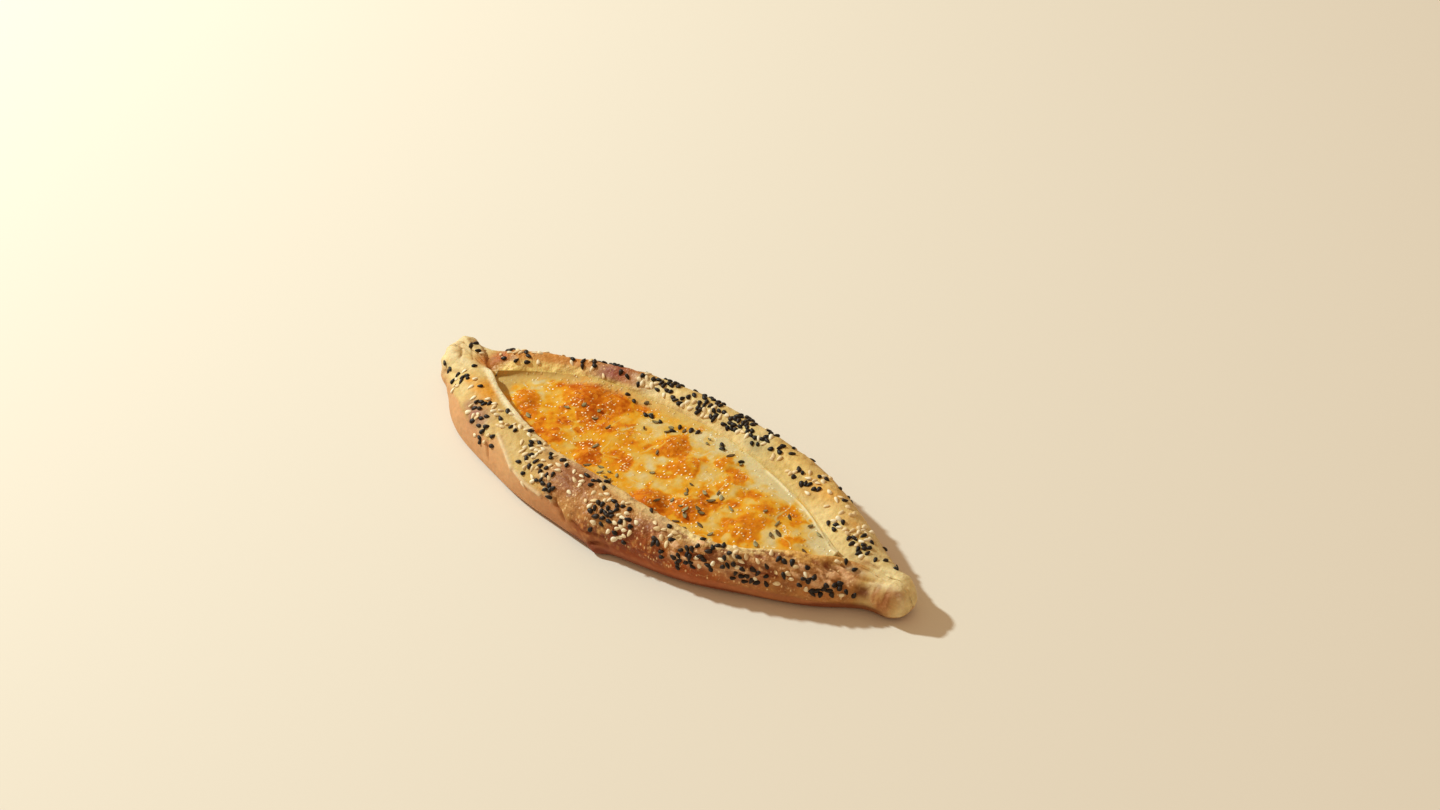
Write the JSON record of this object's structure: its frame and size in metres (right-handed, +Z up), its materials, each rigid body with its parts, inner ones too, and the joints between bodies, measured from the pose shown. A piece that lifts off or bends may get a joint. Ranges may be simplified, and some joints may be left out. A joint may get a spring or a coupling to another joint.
{
  "type": "cheese manakish",
  "caption": "Boat-shaped flatbread with pinched ends and a rolled rim baked with seeds, around a filling of melted cheese browned in patches.",
  "frame": {"origin": "on the table, under the middle of the boat's bounding box", "axes": "+X along the boat from its blunt end to its slim end, +Y across it towards the back, +Z up"},
  "size_m": [0.2494, 0.0921, 0.0226],
  "materials": {
    "crust": "baked dough, matte to satin",
    "cheese": "melted cheese, oily"
  },
  "bodies": {
    "root": {"crust": "crust", "cheese": "cheese"}
  },
  "joints": []
}
